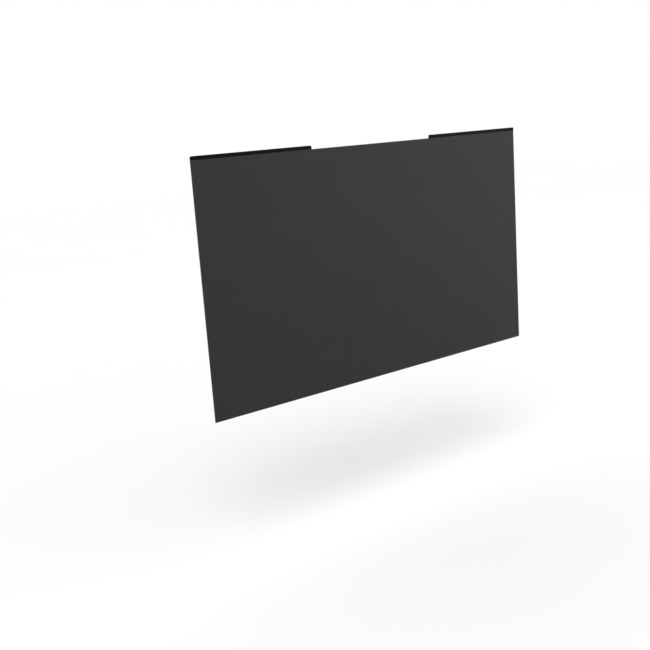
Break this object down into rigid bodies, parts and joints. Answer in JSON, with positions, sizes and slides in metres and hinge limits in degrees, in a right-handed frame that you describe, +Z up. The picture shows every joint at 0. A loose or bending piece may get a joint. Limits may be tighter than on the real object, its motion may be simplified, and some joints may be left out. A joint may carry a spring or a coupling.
{
  "type": "monitor privacy filter",
  "caption": "Stiff dark louvre sheet for a wide desktop display, hung by a magnet strip behind a narrow tab at each end of its top edge.",
  "frame": {"origin": "centre of the whole part: the middle of its width, of its 2 mm depth and of its height with the tabs", "axes": "+X along the width to the viewer's right, +Y from the viewer towards the display, along the normal of the magnet strips' mating faces, +Z up in use"},
  "size_m": [0.532, 0.002, 0.3044],
  "materials": {
    "louvre_sheet": "satin",
    "gloss_facing": "gloss",
    "bond_tape": "matte",
    "magnet_strip": "matte"
  },
  "bodies": {
    "root": {"filter_sheet": "louvre_sheet", "left_facing": "gloss_facing", "right_facing": "gloss_facing", "left_tape": "bond_tape", "right_tape": "bond_tape", "left_magnet": "magnet_strip", "right_magnet": "magnet_strip"}
  },
  "joints": []
}
